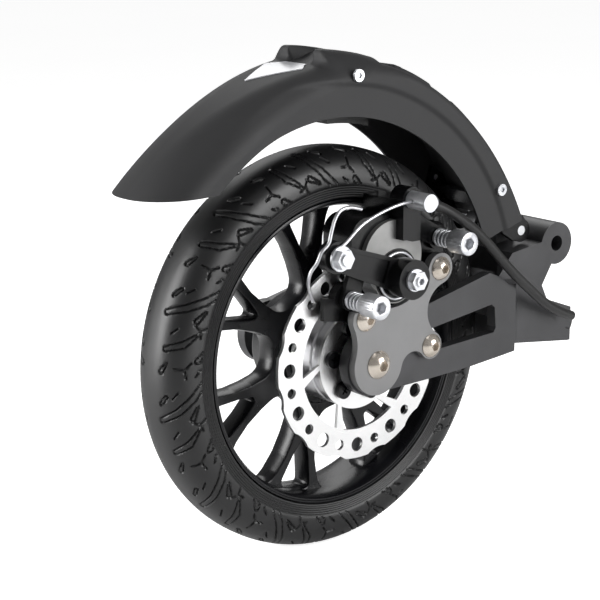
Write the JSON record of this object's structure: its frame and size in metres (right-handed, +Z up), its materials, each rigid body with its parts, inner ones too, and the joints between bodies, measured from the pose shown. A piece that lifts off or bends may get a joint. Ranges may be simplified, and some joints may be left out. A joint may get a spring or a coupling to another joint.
{
  "type": "scooter_rear_wheel_module",
  "caption": "Kick-scooter rear wheel module: Y-spoked wheel with solid tyre, cable disc brake with a floating caliper, fork with a pivot bore and a foot-brake fender on a hinge.",
  "frame": {"origin": "centre of the pivot bore at the front of the fork", "axes": "+X forward, +Y along the pivot and wheel axle away from the disc brake, +Z up"},
  "size_m": [0.2722, 0.1183, 0.2444],
  "materials": {
    "fork_paint": "satin dark grey paint on a casting",
    "plate_grey": "blasted aluminium plate",
    "nickel_bolt": "bright nickel plate",
    "black_paint": "semi-gloss black",
    "zinc": "bright zinc plate",
    "bare_aluminium": "turned aluminium",
    "bearing_steel": "ground bearing steel",
    "tyre_rubber": "moulded matte black rubber",
    "wheel_paint": "satin black paint",
    "rotor_steel": "ground stainless steel",
    "seal_rubber": "black nitrile",
    "caliper_cast": "cast silver and black paint",
    "pad_compound": "sintered brake pad",
    "cable_plastic": "black cable jacket",
    "wire_steel": "stranded steel wire",
    "fender_plastic": "fine-grained dark grey plastic",
    "shoe_plastic": "black nylon"
  },
  "bodies": {
    "frame": {"fork": "fork_paint", "adapter_plate": "plate_grey", "plate_bolts": "nickel_bolt", "caliper_bracket": "black_paint", "guide_bolts": "zinc", "guide_springs": "zinc", "axle_bolt": "nickel_bolt", "axle_washer": "zinc", "axle_nut": "zinc", "near_spacer": "bare_aluminium", "far_spacer": "bare_aluminium", "bearing_spacer": "bare_aluminium", "bearing_inner_rings": "bearing_steel", "hinge_pin": "zinc", "fender_spring": "zinc"},
    "wheel": {"tyre": "tyre_rubber", "wheel_core": "wheel_paint", "rotor_carrier": "bare_aluminium", "brake_rotor": "rotor_steel", "rotor_screws": "black_paint", "bearing_outer_rings": "bearing_steel", "bearing_balls": "bearing_steel", "bearing_seals": "seal_rubber"},
    "caliper": {"caliper_body": "black_paint", "caliper_barrel": "caliper_cast", "actuator_cap": "black_paint", "inner_pad": "pad_compound", "return_spring": "zinc", "cable_anchor": "zinc", "cable_ferrule": "zinc", "cable_housing": "cable_plastic", "brake_wire": "wire_steel"},
    "lever": {"brake_lever": "black_paint", "lever_nut": "zinc", "wire_clamp": "zinc", "wire_tail": "wire_steel", "ramp_balls": "bearing_steel"},
    "piston": {"piston": "zinc", "outer_pad": "pad_compound"},
    "fender": {"fender": "fender_plastic", "brake_shoe": "shoe_plastic", "hinge_bracket": "black_paint", "fender_screws": "zinc"}
  },
  "joints": [
    {"name": "wheel_spin", "type": "hinge", "parent": "frame", "child": "wheel", "pos_m": [-0.136, 0, -0.039], "axis": [0, 1, 0], "continuous": true},
    {"name": "caliper_float", "type": "slide", "parent": "frame", "child": "caliper", "axis": [0, 1, 0], "range_m": [-0.00045, 0], "deforming": ["guide_springs"]},
    {"name": "lever_pull", "type": "hinge", "parent": "caliper", "child": "lever", "pos_m": [-0.1235, 0, 0.0025], "axis": [0, 1, 0], "range_deg": [0, 25], "deforming": ["brake_wire"]},
    {"name": "piston_push", "type": "slide", "parent": "caliper", "child": "piston", "axis": [0, 1, 0], "range_m": [0, 0.0009]},
    {"name": "fender_press", "type": "hinge", "parent": "frame", "child": "fender", "pos_m": [-0.019, 0, 0.008], "axis": [0, 1, 0], "range_deg": [-5.2, 0]}
  ],
  "couplings": [
    {"joint": "piston_push", "follows": "lever_pull", "m_per_rad": 0.00206},
    {"joint": "caliper_float", "follows": "lever_pull", "m_per_rad": -0.00103}
  ]
}
